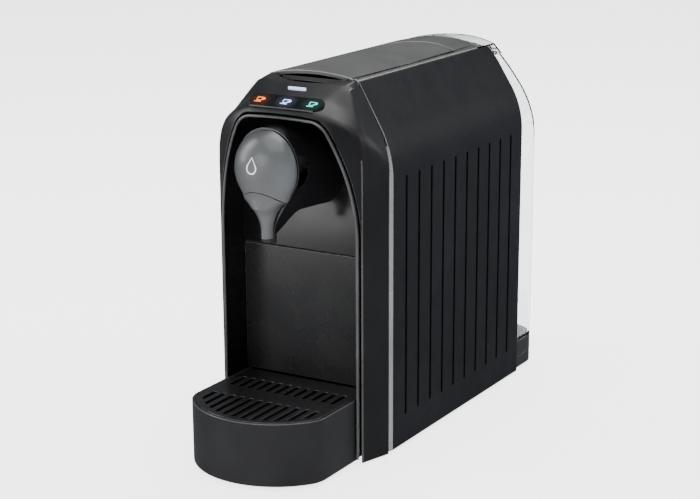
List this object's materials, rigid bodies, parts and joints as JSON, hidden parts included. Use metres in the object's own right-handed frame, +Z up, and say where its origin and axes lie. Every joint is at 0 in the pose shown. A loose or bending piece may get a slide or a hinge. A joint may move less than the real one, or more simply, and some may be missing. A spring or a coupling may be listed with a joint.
{
  "type": "pod coffee machine",
  "caption": "Slim pod coffee machine: arched cup bay with egg-shaped spout, lit keys on the brow, lever lid, capsule drawer, drip tray and clear water tank at the back.",
  "frame": {"origin": "middle of the footprint, on the table under the feet", "axes": "+X to the right as seen from the front, +Y from the front to the back, +Z up"},
  "size_m": [0.12, 0.3376, 0.2475],
  "materials": {
    "side_plastic": "fine satin grain",
    "frame_plastic": "satin",
    "base_plastic": "satin",
    "gloss_black": "polished",
    "top_plastic": "satin",
    "lever_plastic": "satin grey",
    "key_gloss": "polished",
    "light": "lit lens",
    "egg_satin": "metallic satin",
    "rubber": "matt",
    "silicone": "matt",
    "silicone_black": "matt",
    "steel": "drawn",
    "pump_steel": "plated",
    "aluminium": "cast",
    "inner_plastic": "moulded",
    "board": "lacquered",
    "cable": "smooth",
    "tube": "smooth",
    "clear_tank": "clear, polished",
    "tray_plastic": "fine grain",
    "grate_plastic": "satin",
    "bin_plastic": "moulded",
    "drawer_plastic": "satin"
  },
  "bodies": {
    "machine": {"base_plate": "base_plastic", "feet": "rubber", "base_screws": "steel", "tank_seat": "base_plastic", "chassis": "inner_plastic", "rear_wall": "frame_plastic", "side_panel_right": "side_plastic", "side_panel_left": "side_plastic", "front_frame": "frame_plastic", "bay_liner": "gloss_black", "bay_panel": "gloss_black", "top_cover": "top_plastic", "lever_axle": "steel", "key_mat": "silicone", "key_switches": "steel", "control_board": "board", "status_light": "light", "spout_cover": "egg_satin", "spout_neck_cover": "egg_satin", "spout_body": "gloss_black", "spout_duct": "inner_plastic", "nozzle": "silicone_black", "brew_frame": "frame_plastic", "guide_rods": "steel", "injector_block": "inner_plastic", "injector_seal": "silicone", "injector_needles": "steel", "thermoblock": "aluminium", "thermostats": "gloss_black", "pump": "pump_steel", "pump_mounts": "silicone_black", "flow_meter": "inner_plastic", "main_board": "board", "board_parts": "gloss_black", "inlet_hose": "silicone", "pump_hose": "silicone", "pressure_tube": "tube", "delivery_tube": "tube", "control_cable": "cable", "mains_lead": "cable", "cord_gland": "rubber", "seat_seal": "silicone"},
    "lever": {"lever_plate": "lever_plastic", "crank_pins": "steel"},
    "carriage": {"carriage": "frame_plastic", "drawbars": "steel", "capsule_seal": "silicone"},
    "left_key": {"key_left": "key_gloss"},
    "middle_key": {"key_middle": "key_gloss"},
    "right_key": {"key_right": "key_gloss"},
    "tank": {"tank": "clear_tank", "tank_valve": "gloss_black"},
    "poppet": {"valve_poppet": "silicone"},
    "lid": {"tank_lid": "clear_tank"},
    "drawer": {"drip_tray": "tray_plastic", "capsule_bin": "bin_plastic", "drawer_front": "drawer_plastic"},
    "grate": {"drip_grate": "grate_plastic"}
  },
  "joints": [
    {"name": "lever_hinge", "type": "hinge", "parent": "machine", "child": "lever", "pos_m": [0, 0.06275, 0.2405], "axis": [-1, 0, 0], "range_deg": [0, 75]},
    {"name": "carriage_slide", "type": "slide", "parent": "machine", "child": "carriage", "axis": [0, -1, 0], "range_m": [0, 0.0195]},
    {"name": "left_key_press", "type": "slide", "parent": "machine", "child": "left_key", "axis": [0, 0.5299, -0.848], "range_m": [0, 0.0008], "stiffness_N_per_m": 350, "springref_m": -0.0002},
    {"name": "middle_key_press", "type": "slide", "parent": "machine", "child": "middle_key", "axis": [0, 0.5299, -0.848], "range_m": [0, 0.0008], "stiffness_N_per_m": 350, "springref_m": -0.0002},
    {"name": "right_key_press", "type": "slide", "parent": "machine", "child": "right_key", "axis": [0, 0.5299, -0.848], "range_m": [0, 0.0008], "stiffness_N_per_m": 350, "springref_m": -0.0002},
    {"name": "tank_lift", "type": "slide", "parent": "machine", "child": "tank", "axis": [0, 0, 1], "range_m": [0, 0.235]},
    {"name": "poppet_lift", "type": "slide", "parent": "tank", "child": "poppet", "axis": [0, 0, 1], "range_m": [0, 0.002], "stiffness_N_per_m": 60, "springref_m": -0.001},
    {"name": "lid_lift", "type": "slide", "parent": "tank", "child": "lid", "axis": [0, 0, 1], "range_m": [0, 0.05]},
    {"name": "drawer_slide", "type": "slide", "parent": "machine", "child": "drawer", "axis": [0, -1, 0], "range_m": [0, 0.14]},
    {"name": "grate_lift", "type": "slide", "parent": "drawer", "child": "grate", "axis": [0, 0, 1], "range_m": [0, 0.08]}
  ],
  "couplings": [
    {"joint": "carriage_slide", "follows": "lever_hinge", "m_per_rad": 0.014882}
  ]
}
